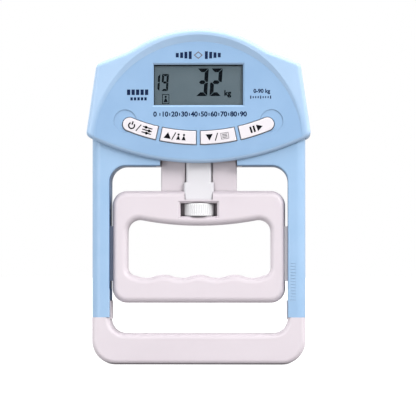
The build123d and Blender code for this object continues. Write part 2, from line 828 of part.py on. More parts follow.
battery_1 = battery(cell_spots_z[0], False)
finish_piece(battery_1, "battery_1")
battery_2 = battery(cell_spots_z[1], True)
finish_piece(battery_2, "battery_2")

contact_x = bay_half_width - 0.2
with BuildPart() as battery_contacts:
    for side in (-1, 1):
        with BuildSketch(Plane.YZ.offset(side * (contact_x - 0.2) - 0.2)):
            with Locations(*[(battery_y, z) for z in cell_spots_z]):
                Rectangle(9.4, 9.4)
        extrude(amount=0.4)
    # One plate joins the two cells on the right, and the plus ends get a raised boss.
    with BuildSketch(Plane.YZ.offset(contact_x - 0.4)):
        with Locations((battery_y, sum(cell_spots_z) / 2)):
            Rectangle(6, 12)
    extrude(amount=0.4)
    for side, z in zip((1, -1), cell_spots_z):
        with BuildSketch(Plane.YZ.offset(side * battery_length / 2)):
            with Locations((battery_y, z)):
                Circle(2.6)
        extrude(amount=side * (contact_x - 0.4 - battery_length / 2))
finish_piece(battery_contacts, "battery_contacts")

with BuildPart() as battery_springs:
    for side, z in zip((-1, 1), cell_spots_z):
        with BuildSketch(Plane.YZ.offset(side * (contact_x - 0.4))):
            with Locations((battery_y, z)):
                Circle(3.4)
                Circle(2.6, mode=Mode.SUBTRACT)
        extrude(amount=-side * (contact_x - 0.4 - battery_length / 2))
finish_piece(battery_springs, "battery_springs")

with BuildPart() as battery_door:
    with BuildSketch(facing(back_y)):
        with Locations((0, (door_bottom + door_top) / 2)):
            Rectangle(2 * door_half_width, door_top - door_bottom)
    extrude(amount=back_y - door_inside_y)
    # Thumb notch and grip lines near the free edge.
    with BuildSketch(facing(back_y)):
        with Locations((0, door_top - 4)):
            with GridLocations(0, 1.6, 1, 4):
                Rectangle(14, 0.7)
    extrude(amount=0.5, mode=Mode.SUBTRACT)
    # Two hinge tabs that hook in below the bay.
    with BuildSketch(facing(door_inside_y)):
        with Locations(*mirrored(15, door_bottom + 0.2)):
            Rectangle(6.0, 1.4)
    extrude(amount=1.6)
    with BuildSketch(facing(door_inside_y - 0.6)):
        with Locations(*mirrored(15, door_bottom - 0.6)):
            Rectangle(6.0, 1.6)
    extrude(amount=1.0)
finish_piece(battery_door, "battery_door")


# ---------------------------------------------------------------- leads
def lead(name, points, radii, thickness):
    """A thin insulated lead along straight runs joined by arcs."""
    with BuildPart() as made:
        with BuildLine():
            route = FilletPolyline(*points, radius=radii)
        with BuildSketch(Plane(origin=route @ 0, z_dir=route % 0)):
            Circle(thickness)
        sweep()
    finish_piece(made, name)


gauge_x = flexure_spots[1][0]
lead(
    "sensor_leads",
    [(gauge_x, 0, cell_top + 0.25), (gauge_x, 0, cell_top + 2.4), (gauge_x, board_back_y, cell_top + 2.4)],
    1.4,
    0.7,
)
lead(
    "battery_lead_left",
    [
        (-bay_half_width - 1.5, 2.0, 156),
        (-bay_half_width - 3.6, 2.0, 156),
        (-bay_half_width - 3.6, board_back_y, 156),
    ],
    1.4,
    0.6,
)
lead(
    "battery_lead_right",
    [
        (bay_half_width + 1.5, 2.0, 156),
        (bay_half_width + 3.6, 2.0, 156),
        (bay_half_width + 3.6, board_back_y, 156),
    ],
    1.4,
    0.6,
)

# ---------------------------------------------------------------- base shells
base_screw_spots = [(-44, 8.4), (0, 8.4), (44, 8.4)]
post_inner_x = opening_half_width - 0.6
post_outer_x = opening_half_width + wall - 0.15
tongue_gap = 0.15
liner_inner_x = 52.4  # clear of the side guides
liner_outer_x = frame_half_width - wall - tongue_gap
liner_top = 42.4


def base_shell(rear_y, front_y, outer_y, edge_radius):
    """Half of the base: a hollow U bar with a post and a tongue that enter each leg."""
    facing_front = outer_y < parting_y
    with BuildPart() as made:
        with BuildSketch(facing(rear_y)):
            add(base_profile.sketch)
        extrude(amount=rear_y - front_y)
        rim = made.faces().sort_by(Axis.Y)[0 if facing_front else -1].edges()
        fillet([e for e in rim if abs(e.center().Z - split_height) > 0.01], edge_radius)
        with BuildSketch(facing(parting_y)):
            offset(base_profile.sketch, amount=-wall, mode=Mode.ADD)
        depth = abs(outer_y - parting_y) - wall
        extrude(amount=depth if facing_front else -depth, mode=Mode.SUBTRACT)
        # Posts that stand against the leg's inner wall, and tongues inside the leg.
        near, far = sorted((parting_y, outer_y + (wall + 0.7 if facing_front else -wall - 0.7)))
        post_middle_x = (post_inner_x + post_outer_x) / 2
        with BuildSketch(facing(far)):
            with Locations(*mirrored(post_middle_x, (split_height + post_top) / 2 - 0.5)):
                Rectangle(post_outer_x - post_inner_x, post_top - split_height + 1.0)
            with Locations(*mirrored(leg_middle_x, (split_height + post_top) / 2 - 1.5)):
                Rectangle(leg_hollow_width - 2 * tongue_gap, post_top - split_height + 1.0)
            # Each tongue runs on upwards as a liner, which backs the notch in the leg's inner wall.
            with Locations(*mirrored((liner_inner_x + liner_outer_x) / 2, (split_height + liner_top) / 2)):
                Rectangle(liner_outer_x - liner_inner_x, liner_top - split_height)
        extrude(amount=far - near)
        # Screw bosses of the base bar, and the holes that take the leg screws.
        with BuildSketch(facing(parting_y)):
            with Locations(*base_screw_spots):
                Circle(3.2)
        extrude(amount=depth if facing_front else -depth)
        with BuildSketch(facing(far + 3)):
            with Locations(*(base_screw_spots + leg_screw_low)):
                Circle(1.25 if facing_front else 1.45)
        extrude(amount=far - near + (2.5 if facing_front else 4), mode=Mode.SUBTRACT)
        if not facing_front:
            with BuildSketch(facing(back_y)):
                with Locations(*base_screw_spots):
                    Circle(2.6)
            extrude(amount=3.5, mode=Mode.SUBTRACT)
        cut_seam(base_profile.sketch, parting_y, facing_front)
    return made


base_front_shell = base_shell(parting_y, leg_front_y, leg_front_y, 2.6)
finish_piece(base_front_shell, "base_front_shell")
base_rear_shell = base_shell(back_y, parting_y, back_y, 2.6)
finish_piece(base_rear_shell, "base_rear_shell")

base_screws = screw_set(base_screw_spots, back_y - 2.1, parting_y - 7)
finish_piece(base_screws, "base_screws")

# ---------------------------------------------------------------- handle
window_half_width = 10.05
rear_window_half_width = 5.2
mouth_bevel = 1.2
sleeve_slot_half_width = 7.7
handle_screw_spots = mirrored(43.2, 88.5) + mirrored(36, 40.3)
bearing_half_width = 14.0  # solid block round the wheel and the stem
bearing_bottom = 78.4
tongue_foot_half_width = 23.0
tongue_foot_bottom = 90.8
tongue_foot_top = 92.6


def handle_shell(rear_y, front_y, outer_y):
    """Half of the handle: a hollow ring with a housing for the wheel in its top bar."""
    facing_front = outer_y < handle_parting_y
    depth = abs(outer_y - handle_parting_y) - 2.0
    inward = 1 if facing_front else -1
    with BuildPart() as made:
        with BuildSketch(facing(rear_y)):
            add(handle_profile.sketch)
        extrude(amount=rear_y - front_y)
        fillet(made.faces().sort_by(Axis.Y)[0 if facing_front else -1].edges(), 3.2)
        with BuildSketch(facing(handle_parting_y)):
            offset(handle_profile.sketch, amount=-2.0, mode=Mode.ADD)
        extrude(amount=inward * depth, mode=Mode.SUBTRACT)
        # Solid housing round the wheel, stem and tongue.
        with BuildSketch(facing(handle_parting_y)):
            with Locations((0, (bearing_bottom + handle_top - 1) / 2)):
                Rectangle(2 * bearing_half_width, handle_top - 1 - bearing_bottom)
        extrude(amount=inward * (depth + 0.1))
        with BuildSketch(facing(handle_parting_y)):
            with Locations(*handle_screw_spots):
                Circle(2.6)
                Circle(1.1, mode=Mode.SUBTRACT)
        extrude(amount=inward * (depth + 0.1))
        # Wheel chamber and its windows, wide in front and narrow behind, each with a bevelled mouth.
        mouth_half_width = window_half_width if facing_front else rear_window_half_width
        with BuildSketch(level(wheel_bottom)):
            Circle(wheel_radius + gap)
        extrude(amount=wheel_top - wheel_bottom, mode=Mode.SUBTRACT)
        with BuildSketch(facing(handle_parting_y)):
            with Locations((0, (wheel_bottom + wheel_top) / 2)):
                Rectangle(2 * mouth_half_width, wheel_top - wheel_bottom)
        extrude(amount=inward * 20, mode=Mode.SUBTRACT)
        with BuildSketch(facing(outer_y + inward * mouth_bevel)):
            with Locations((0, (wheel_bottom + wheel_top) / 2)):
                Rectangle(2 * mouth_half_width, wheel_top - wheel_bottom)
        extrude(amount=inward * (mouth_bevel + 0.1), taper=-45, mode=Mode.SUBTRACT)
        # Bore for the spindle, seats for the thrust washer and the stem.
        with BuildSketch(level(wheel_bottom - 1.5)):
            Circle(spindle_radius + gap)
        extrude(amount=20, mode=Mode.SUBTRACT)
        with BuildSketch(level(wheel_top)):
            Circle(5.7)
        extrude(amount=0.9, mode=Mode.SUBTRACT)
        with BuildSketch(level(sleeve_bottom)):
            add(stem_section(0, sleeve_half_width, sleeve_back_y, 0.02))
        extrude(amount=20, mode=Mode.SUBTRACT)
        # The front wall is open before the sleeve.
        if facing_front:
            with BuildSketch(facing(stem_front_y + 0.5)):
                with Locations((0, sleeve_bottom + 10)):
                    Rectangle(2 * sleeve_slot_half_width, 20)
            extrude(amount=5, mode=Mode.SUBTRACT)
        # Socket for the tongue and its wider foot.
        with BuildSketch(level(tongue_foot_bottom, y=(tongue_front_y + tongue_back_y) / 2)):
            Rectangle(2 * tongue_foot_half_width + 0.2, tongue_back_y - tongue_front_y + 0.1)
        extrude(amount=tongue_foot_top - tongue_foot_bottom, mode=Mode.SUBTRACT)
        with BuildSketch(level(tongue_foot_top, y=(tongue_front_y + tongue_back_y) / 2)):
            Rectangle(2 * tongue_half_width + 0.1, tongue_back_y - tongue_front_y + 0.1)
        extrude(amount=10, mode=Mode.SUBTRACT)
        # Sockets in the sides for the guides.
        with BuildSketch(level(tab_bottom, y=(tab_front_y + tab_back_y) / 2)):
            with Locations(*mirrored(handle_half_width, 0)):
                Rectangle(5.0, tab_back_y - tab_front_y)
        extrude(amount=tab_top - tab_bottom, mode=Mode.SUBTRACT)
        if not facing_front:
            with BuildSketch(facing(handle_back_y)):
                with Locations(*handle_screw_spots):
                    Circle(2.1)
            extrude(amount=2.6, mode=Mode.SUBTRACT)
            with BuildSketch(facing(handle_back_y)):
                with Locations(*handle_screw_spots):
                    Circle(1.3)
            extrude(amount=handle_back_y - handle_parting_y, mode=Mode.SUBTRACT)
        cut_seam(handle_profile.sketch, handle_parting_y, facing_front)
    return made


handle_front_shell = handle_shell(handle_parting_y, handle_front_y, handle_front_y)
finish_piece(handle_front_shell, "handle_front_shell")
handle_rear_shell = handle_shell(handle_back_y, handle_parting_y, handle_back_y)
finish_piece(handle_rear_shell, "handle_rear_shell")

handle_screws = screw_set(handle_screw_spots, handle_back_y - 0.9, handle_parting_y - 5, 1.9, 1.05, 1.4)
finish_piece(handle_screws, "handle_screws")

tongue_top = 121.0
tube_top = 120.0
groove_width = 0.6
groove_back_y = -0.8
saddle_half_width = sleeve_half_width + 2.4
saddle_back_y = 9.2

with BuildPart() as guide_tongue:
    with BuildSketch(facing(tongue_back_y)):
        with Locations((0, (tongue_foot_bottom + tongue_foot_top) / 2)):
            Rectangle(2 * tongue_foot_half_width, tongue_foot_top - tongue_foot_bottom)
        with Locations((0, (tongue_foot_bottom + tongue_top) / 2)):
            Rectangle(2 * tongue_half_width, tongue_top - tongue_foot_bottom)
    extrude(amount=tongue_back_y - tongue_front_y)
    long_edges = guide_tongue.edges().filter_by(Axis.Z).filter_by(lambda e: e.length > 10)
    fillet([e for e in long_edges if abs(abs(e.center().X) - tongue_half_width) < 0.01], 1.0)
    # A saddle behind the sleeve joins the two sides.
    with BuildSketch(level(handle_top + 0.2, y=(tongue_front_y + saddle_back_y) / 2)):
        Rectangle(2 * saddle_half_width, saddle_back_y - tongue_front_y)
    extrude(amount=sleeve_top - handle_top - 0.2)
    with BuildSketch(level(tongue_foot_bottom - 1)):
        add(stem_section(0, sleeve_half_width, sleeve_back_y))
    extrude(amount=sleeve_top - tongue_foot_bottom + 1.001, mode=Mode.SUBTRACT)
    # Above the sleeve the tongue stands against the tube, with a groove down each side of it.
    with BuildSketch(facing(tongue_back_y + 1)):
        with Locations((0, (sleeve_top + tongue_top) / 2 + 1)):
            Rectangle(2 * tube_half_width + 0.04, tongue_top - sleeve_top + 2)
    extrude(amount=tongue_back_y - tongue_front_y + 2, mode=Mode.SUBTRACT)
    with BuildSketch(facing(groove_back_y)):
        with Locations((0, (sleeve_top + tongue_top) / 2 + 1)):
            Rectangle(2 * (tube_half_width + groove_width), tongue_top - sleeve_top + 2)
    extrude(amount=10, mode=Mode.SUBTRACT)
finish_piece(guide_tongue, "guide_tongue")

with BuildPart() as stem:
    with BuildSketch(level(sleeve_bottom)):
        add(stem_section(0, sleeve_half_width, sleeve_back_y))
    extrude(amount=sleeve_top - sleeve_bottom)
    shoulder_edges = stem.faces().sort_by(Axis.Z)[-1].edges()
    chamfer([e for e in shoulder_edges if e.center().Y > stem_front_y + 0.1], 0.4)
    with BuildSketch(level(sleeve_bottom)):
        add(stem_section(0, tube_half_width, tube_back_y))
    extrude(amount=tube_top - sleeve_bottom)
    with BuildSketch(level(sleeve_bottom)):
        Circle(spindle_radius + gap)
    extrude(amount=tube_top - sleeve_bottom, mode=Mode.SUBTRACT)
    with BuildSketch(level(tube_top)):
        Circle(4.9)
    extrude(amount=-(tube_top - nut_barrel_bottom + travel_up + 1.5), mode=Mode.SUBTRACT)
finish_piece(stem, "stem")

with BuildPart() as side_guides:
    guide_inner_x = handle_half_width - 2.5
    guide_outer_x = 52.0
    with BuildSketch(level(tab_bottom)):
        with Locations(*mirrored((guide_inner_x + guide_outer_x) / 2, (tab_front_y + tab_back_y) / 2)):
            Rectangle(guide_outer_x - guide_inner_x, tab_back_y - tab_front_y)
    extrude(amount=tab_top - tab_bottom)
    outer_edges = side_guides.edges().filter_by(lambda e: abs(e.center().X) > guide_outer_x - 0.01)
    chamfer(outer_edges, 0.4)
finish_piece(side_guides, "side_guides")

with BuildPart() as thrust_washer:
    with BuildSketch(level(wheel_top + 0.05)):
        Circle(5.6)
        Circle(spindle_radius + 0.2, mode=Mode.SUBTRACT)
    extrude(amount=0.8)
finish_piece(thrust_washer, "thrust_washer")

# ---------------------------------------------------------------- adjusting wheel and spindle
knurl_count = 40

with BuildPart() as adjusting_wheel:
    with BuildSketch(level(wheel_bottom + 0.12)):
        Circle(wheel_radius)
    extrude(amount=wheel_top - wheel_bottom - 0.24)
    chamfer(adjusting_wheel.edges().filter_by(GeomType.CIRCLE), 0.5)
    with BuildSketch(level(wheel_bottom)):
        with PolarLocations(wheel_radius + 0.12, knurl_count):
            Circle(0.42)
        Circle(spindle_radius)
    extrude(amount=wheel_top - wheel_bottom, mode=Mode.SUBTRACT)
finish_piece(adjusting_wheel, "adjusting_wheel")

with BuildPart() as spindle:
    with BuildSketch(level(wheel_bottom + 0.6)):
        Circle(spindle_radius)
    extrude(amount=138 - wheel_bottom - 0.6)
    chamfer(spindle.faces().sort_by(Axis.Z)[-1].edges(), 0.6)
finish_piece(spindle, "spindle")
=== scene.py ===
"""Looks of the hand dynamometer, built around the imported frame. All sizes are in metres."""

import json
import math

import bmesh
import bpy
from mathutils import Matrix, Vector

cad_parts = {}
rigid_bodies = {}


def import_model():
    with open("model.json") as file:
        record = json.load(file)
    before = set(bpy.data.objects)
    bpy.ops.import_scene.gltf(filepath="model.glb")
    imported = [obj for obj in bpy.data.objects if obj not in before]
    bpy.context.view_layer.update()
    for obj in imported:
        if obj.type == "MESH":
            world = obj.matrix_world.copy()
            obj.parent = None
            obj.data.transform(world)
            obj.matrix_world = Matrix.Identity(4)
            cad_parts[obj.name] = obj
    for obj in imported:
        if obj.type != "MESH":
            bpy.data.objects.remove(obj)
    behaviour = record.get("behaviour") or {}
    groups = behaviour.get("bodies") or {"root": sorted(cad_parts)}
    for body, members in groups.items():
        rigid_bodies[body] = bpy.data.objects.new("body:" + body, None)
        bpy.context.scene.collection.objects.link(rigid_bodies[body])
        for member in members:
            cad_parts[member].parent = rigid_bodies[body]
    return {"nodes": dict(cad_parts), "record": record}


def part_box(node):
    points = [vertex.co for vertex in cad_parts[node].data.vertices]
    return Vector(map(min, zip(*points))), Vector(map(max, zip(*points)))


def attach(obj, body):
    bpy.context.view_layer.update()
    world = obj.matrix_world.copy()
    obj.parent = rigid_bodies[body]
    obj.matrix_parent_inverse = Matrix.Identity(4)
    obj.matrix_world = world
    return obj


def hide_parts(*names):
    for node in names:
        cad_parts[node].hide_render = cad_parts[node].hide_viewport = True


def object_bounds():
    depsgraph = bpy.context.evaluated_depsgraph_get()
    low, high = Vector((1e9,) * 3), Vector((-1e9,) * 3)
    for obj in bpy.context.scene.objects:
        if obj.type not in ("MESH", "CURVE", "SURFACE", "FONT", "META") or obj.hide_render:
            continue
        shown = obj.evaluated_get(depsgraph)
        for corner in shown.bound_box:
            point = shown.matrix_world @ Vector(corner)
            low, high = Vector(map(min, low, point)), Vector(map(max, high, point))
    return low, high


for left_over in list(bpy.data.objects):
    bpy.data.objects.remove(left_over, do_unlink=True)

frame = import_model()
nodes = frame["nodes"]
cad_low, cad_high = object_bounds()
scene = bpy.context.scene
scene.view_settings.view_transform = "Standard"

MM = 0.001
PANEL_FRONT = -12.2 * MM  # flat face of the display panel
KEY_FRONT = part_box("key_up")[0].y
LCD_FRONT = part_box("lcd_panel")[0].y
INK = 0.03 * MM  # thickness of a printed mark
INK_LIFT = 0.035 * MM  # a mark on the display stands this far in front of it
COVE_CENTRE_Z = 119.4 * MM  # the cove round the display panel is an arc about this height
COVE_INNER_RADIUS = 56.7 * MM
COVE_OUTER_RADIUS = 59.5 * MM
OPENING_SIDE = 48.6 * MM  # inner face of a leg
OPENING_TOP = 108.4 * MM  # underside of the cross bar
OPENING_FOOT = 40.7 * MM  # the inner walls are whole from here up


# ---------------------------------------------------------------- camera
def add_camera():
    """A long lens in front of the display, a little to the right and level with the grip."""
    data = bpy.data.cameras.new("camera")
    data.sensor_width = 36.0
    data.lens = 212.8
    data.clip_start = 0.1
    camera = bpy.data.objects.new("camera", data)
    scene.collection.objects.link(camera)
    place = Vector((0.049, -1.35, 0.058))
    target = Vector((0.0049, 0.0, 0.08558))
    camera.location = place
    camera.rotation_euler = (target - place).to_track_quat("-Z", "Y").to_euler()
    scene.camera = camera


add_camera()


# ---------------------------------------------------------------- light and floor
# Strength of the surroundings as a light: in front, and how much more at each side and above.
TENT_FRONT = 0.33
TENT_LEFT = 1.9
TENT_RIGHT = 2.0
TENT_TOP = 2.0
MIDDLE_OF_BODY = (0.0, 0.0, 0.09)
FLOOR_GAP = 0.0002  # the floor lies this far below the base


def add_world():
    """White surroundings to the eye. As a light they are a tent: soft in front, strong at the sides."""
    world = bpy.data.worlds.new("studio")
    scene.world = world
    world.use_nodes = True
    tree = world.node_tree
    background = tree.nodes["Background"]
    background.inputs["Color"].default_value = (1.0, 1.0, 1.0, 1.0)

    def step(operation, first, second):
        node = tree.nodes.new("ShaderNodeMath")
        node.operation = operation
        for socket, value in zip(node.inputs, (first, second)):
            if isinstance(value, float):
                socket.default_value = value
            else:
                tree.links.new(value, socket)
        return node.outputs["Value"]

    direction = tree.nodes.new("ShaderNodeTexCoord").outputs["Generated"]
    split = tree.nodes.new("ShaderNodeSeparateXYZ")
    tree.links.new(direction, split.inputs["Vector"])

    def side(coordinate, way, strength):
        """Light that grows towards one side of the tent."""
        reach = step("MAXIMUM", step("MULTIPLY", coordinate, way), 0.0)
        return step("MULTIPLY", step("POWER", reach, 2.0), strength)

    left = side(split.outputs["X"], -1.0, TENT_LEFT)
    right = side(split.outputs["X"], 1.0, TENT_RIGHT)
    above = side(split.outputs["Z"], 1.0, TENT_TOP)
    tent = step("ADD", step("ADD", step("ADD", left, right), above), TENT_FRONT)
    seen = tree.nodes.new("ShaderNodeLightPath").outputs["Is Camera Ray"]
    tree.links.new(step("MAXIMUM", tent, seen), background.inputs["Strength"])


def add_softbox(name, place, target, size, power, tint=(1.0, 1.0, 1.0)):
    """A square area light that faces target."""
    data = bpy.data.lights.new(name, "AREA")
    data.shape = "SQUARE"
    data.size = size
    data.energy = power
    data.color = tint
    light = bpy.data.objects.new(name, data)
    scene.collection.objects.link(light)
    light.location = place
    aim = Vector(target) - Vector(place)
    light.rotation_euler = aim.to_track_quat("-Z", "Y").to_euler()


def add_floor():
    """A wide pale floor with a rim that fades into the surroundings."""
    radius = 6.0
    rings = 24
    sides = 96
    mesh = bpy.data.meshes.new("studio_floor")
    build = bmesh.new()
    middle = build.verts.new((0.0, 0.0, 0.0))
    before = None
    for ring in range(1, rings + 1):
        reach = radius * (ring / rings) ** 2
        now = []
        for side in range(sides):
            turn = 2 * math.pi * side / sides
            now.append(build.verts.new((reach * math.cos(turn), reach * math.sin(turn), 0.0)))
        for side in range(sides):
            after = (side + 1) % sides
            if before is None:
                build.faces.new((middle, now[side], now[after]))
            else:
                build.faces.new((before[side], now[side], now[after], before[after]))
        before = now
    build.to_mesh(mesh)
    build.free()
    floor = bpy.data.objects.new("studio_floor", mesh)
    scene.collection.objects.link(floor)
    floor.location.z = cad_low.z - FLOOR_GAP
    return floor


add_world()
add_softbox("key_light", (0.95, -1.0, 0.95), MIDDLE_OF_BODY, 0.6, 20.0, (1.0, 0.99, 0.975))
add_softbox("top_light", (0.05, -0.25, 1.2), MIDDLE_OF_BODY, 0.7, 8.0)
add_softbox("rear_light", (-0.9, 1.2, 0.8), MIDDLE_OF_BODY, 0.7, 7.0)
add_softbox("low_fill", (-0.75, -1.1, 0.03), MIDDLE_OF_BODY, 0.5, 7.5)
floor = add_floor()


# ---------------------------------------------------------------- material helpers
class Recipe:
    """A node material under construction, with short calls for the nodes used here."""

    def __init__(self, name):
        self.material = bpy.data.materials.new(name)
        self.material.use_nodes = True
        self.tree = self.material.node_tree
        self.shader = self.tree.nodes["Principled BSDF"]
        self.place = self.add("ShaderNodeTexCoord").outputs["Object"]

    def add(self, kind, **settings):
        node = self.tree.nodes.new(kind)
        for name, value in settings.items():
            setattr(node, name, value)
        return node

    def link(self, source, target):
        self.tree.links.new(source, target)

    def set(self, **values):
        """Plain values on the shader's own sockets, named with _ for a space."""
        for name, value in values.items():
            self.shader.inputs[name.replace("_", " ")].default_value = value

    def parts(self, vector):
        """The X, Y and Z of a vector."""
        split = self.add("ShaderNodeSeparateXYZ")
        self.link(vector, split.inputs["Vector"])
        return split.outputs

    def facing(self, kind="True Normal"):
        """The X, Y and Z of the way the surface faces."""
        return self.parts(self.add("ShaderNodeNewGeometry").outputs[kind])

    def noise(self, scale, detail=3.0, roughness=0.5, stretch=(1.0, 1.0, 1.0)):
        """Noise over the object, scale in features per metre."""
        mapping = self.add("ShaderNodeMapping")
        mapping.inputs["Scale"].default_value = stretch
        self.link(self.place, mapping.inputs["Vector"])
        texture = self.add("ShaderNodeTexNoise")
        texture.inputs["Scale"].default_value = scale
        texture.inputs["Detail"].default_value = detail
        texture.inputs["Roughness"].default_value = roughness
        self.link(mapping.outputs["Vector"], texture.inputs["Vector"])
        return texture.outputs["Fac"]

    def spread(self, source, low, high, start=0.3, end=0.7):
        """source between start and end, mapped to low and high."""
        node = self.add("ShaderNodeMapRange")
        node.inputs["From Min"].default_value = start
        node.inputs["From Max"].default_value = end
        node.inputs["To Min"].default_value = low
        node.inputs["To Max"].default_value = high
        self.link(source, node.inputs["Value"])
        return node.outputs["Result"]

    def math(self, operation, first, second=None):
        node = self.add("ShaderNodeMath", operation=operation)
        for socket, value in zip(node.inputs, (first, second)):
            if value is None:
                continue
            if isinstance(value, (int, float)):
                socket.default_value = value
            else:
                self.link(value, socket)
        return node.outputs["Value"]

    def blend(self, factor, first, second, kind="MIX"):
        """Colour blend. first and second are colours or sockets."""
        node = self.add("ShaderNodeMix", data_type="RGBA", blend_type=kind)
        for socket, value in ((node.inputs[0], factor), (node.inputs[6], first), (node.inputs[7], second)):
            if isinstance(value, (int, float)):
                socket.default_value = value
            elif isinstance(value, tuple):
                socket.default_value = (*value, 1.0)
            else:
                self.link(value, socket)
        return node.outputs[2]

    def bump(self, height, strength, distance, normal=None):
        node = self.add("ShaderNodeBump")
        node.inputs["Strength"].default_value = strength
        node.inputs["Distance"].default_value = distance
        self.link(height, node.inputs["Height"])
        if normal is not None:
            self.link(normal, node.inputs["Normal"])
        return node.outputs["Normal"]

    def soft_edges(self, radius):
        """Normal that rounds every sharp edge by radius."""
        node = self.add("ShaderNodeBevel", samples=6)
        node.inputs["Radius"].default_value = radius
        return node.outputs["Normal"]

    def edge_mask(self, rounded, gain):
        """0 on a face, rising to 1 along its edges."""
        plain = self.add("ShaderNodeNewGeometry").outputs["Normal"]
        dot = self.add("ShaderNodeVectorMath", operation="DOT_PRODUCT")
        self.link(plain, dot.inputs[0])
        self.link(rounded, dot.inputs[1])
        gap = self.math("SUBTRACT", 1.0, dot.outputs["Value"])
        return self.spread(gap, 0.0, 1.0, 0.0, 1.0 / gain)

    def crevice(self, distance):
        """1 in the open, falling to 0 deep in a seam."""
        node = self.add("ShaderNodeAmbientOcclusion", samples=6)
        node.inputs["Distance"].default_value = distance
        return node.outputs["AO"]


def darker(colour, share):
    """The same colour with its light cut by share."""
    return tuple(value * (1.0 - share) for value in colour)


def lighter(colour, share):
    """The colour moved towards white by share."""
    return tuple(value + (1.0 - value) * share for value in colour)


# Painted shade and light: the display panel is darker than the rim round it, and the chin that turns under
# keeps the lighter rim colour.
def head_panel(recipe):
    """1 inside the cove round the display panel, 0 on the rim and where the chin turns under."""
    place = recipe.parts(recipe.place)
    rise = recipe.math("SUBTRACT", place["Z"], COVE_CENTRE_Z)
    squares = [recipe.math("POWER", recipe.math("ABSOLUTE", way), 2.0) for way in (place["X"], rise)]
    reach = recipe.math("SQRT", recipe.math("ADD", *squares))
    inside = recipe.spread(reach, 1.0, 0.0, COVE_INNER_RADIUS, COVE_OUTER_RADIUS)
    level = recipe.spread(recipe.facing()["Z"], 0.0, 1.0, -0.35, -0.10)
    return recipe.math("MULTIPLY", inside, level)


# Painted shade: the walls round the grip opening are darkened as if in shadow.
def opening_wall(recipe):
    """1 on the frame walls that face the grip opening, 0 elsewhere."""
    place = recipe.parts(recipe.place)
    facing = recipe.facing()
    across = recipe.math("ABSOLUTE", facing["X"])
    down = recipe.math("MULTIPLY", facing["Z"], -1.0)
    inward = recipe.spread(recipe.math("MAXIMUM", across, down), 0.0, 1.0, 0.55, 0.8)
    aside = recipe.math("ABSOLUTE", place["X"])
    near = recipe.spread(aside, 1.0, 0.0, OPENING_SIDE + 1.0 * MM, OPENING_SIDE + 1.2 * MM)
    below = recipe.spread(place["Z"], 1.0, 0.0, OPENING_TOP + 1.0 * MM, OPENING_TOP + 1.2 * MM)
    above = recipe.spread(place["Z"], 0.0, 1.0, OPENING_FOOT, OPENING_FOOT + 1.0 * MM)
    walls = recipe.math("MULTIPLY", inward, near)
    return recipe.math("MULTIPLY", walls, recipe.math("MULTIPLY", below, above))


# Painted shade: white plastic that faces up is darkened, against the strong light from above.
def facing_up(recipe):
    """1 where the surface leans upwards, 0 where it stands upright, and half where it lies level."""
    rise = recipe.facing("Normal")["Z"]
    leaning = recipe.spread(rise, 0.0, 1.0, 0.10, 0.60)
    level = recipe.spread(rise, 1.0, 0.5, 0.92, 1.0)
    return recipe.math("MULTIPLY", leaning, level)


# Painted shade: used only on the side guides, to darken the left one as if in shadow.
def left_side(recipe):
    """1 on the left of the middle, 0 on the right."""
    return recipe.spread(recipe.parts(recipe.place)["X"], 1.0, 0.0, -1.0 * MM, 1.0 * MM)


def moulded(name, colour, rough, grain=0.25, edge=0.00025, seam=0.45, cloud=0.03, zone=None, tint=None):
    """Injection-moulded plastic: flow clouds, mould grain, polished edges, and painted shade in the seams.

    zone is a function that gives 1 where the colour is multiplied by tint. Each zone and tint used here
    paints shade into the colour.
    """
    recipe = Recipe(name)
    clouds = recipe.noise(45.0, 4.0, 0.55)
    mottled = recipe.blend(recipe.spread(clouds, 0.0, 1.0), darker(colour, cloud), lighter(colour, cloud))
    rounded = recipe.soft_edges(edge)
    edges = recipe.edge_mask(rounded, 6.0)
    worn = recipe.blend(recipe.math("MULTIPLY", edges, 0.35), mottled, lighter(colour, 0.22))
    # Painted shade: ambient occlusion darkens the colour in seams, gaps and recesses, by up to seam.
    seam_shade = recipe.spread(recipe.crevice(0.0016), 1.0 - seam, 1.0, 0.1, 0.8)
    tone = recipe.add("ShaderNodeCombineColor")
    for channel in tone.inputs:
        recipe.link(seam_shade, channel)
    shaded = recipe.blend(1.0, worn, tone.outputs["Color"], "MULTIPLY")
    # Painted shade: where zone is 1 the colour is multiplied by tint.
    if zone is not None:
        shaded = recipe.blend(zone(recipe), shaded, recipe.blend(1.0, shaded, tint, "MULTIPLY"))
    recipe.link(shaded, recipe.shader.inputs["Base Color"])
    smudges = recipe.noise(160.0, 3.0, 0.6)
    recipe.link(recipe.spread(smudges, rough - 0.05, rough + 0.06), recipe.shader.inputs["Roughness"])
    grains = recipe.noise(2600.0, 2.0, 0.6)
    recipe.link(recipe.bump(grains, grain, 0.00004, rounded), recipe.shader.inputs["Normal"])
    recipe.set(Specular_IOR_Level=0.4)
    return recipe.material


def metal(name, colour, rough, stretch=(1.0, 1.0, 1.0), scratch=0.15):
    """Plated or machined metal with fine drawn lines along one way."""
    recipe = Recipe(name)
    lines = recipe.noise(900.0, 4.0, 0.6, stretch)
    recipe.link(
        recipe.blend(recipe.spread(lines, 0.0, 1.0), darker(colour, 0.12), lighter(colour, 0.08)),
        recipe.shader.inputs["Base Color"],
    )
    recipe.link(recipe.spread(lines, rough - 0.06, rough + 0.1), recipe.shader.inputs["Roughness"])
    rounded = recipe.soft_edges(0.0001)
    recipe.link(recipe.bump(lines, scratch, 0.00002, rounded), recipe.shader.inputs["Normal"])
    recipe.set(Metallic=1.0)
    return recipe.material


# ---------------------------------------------------------------- materials
BLUE = (0.227, 0.354, 0.519)
HEAD_BLUE = (0.282, 0.404, 0.565)
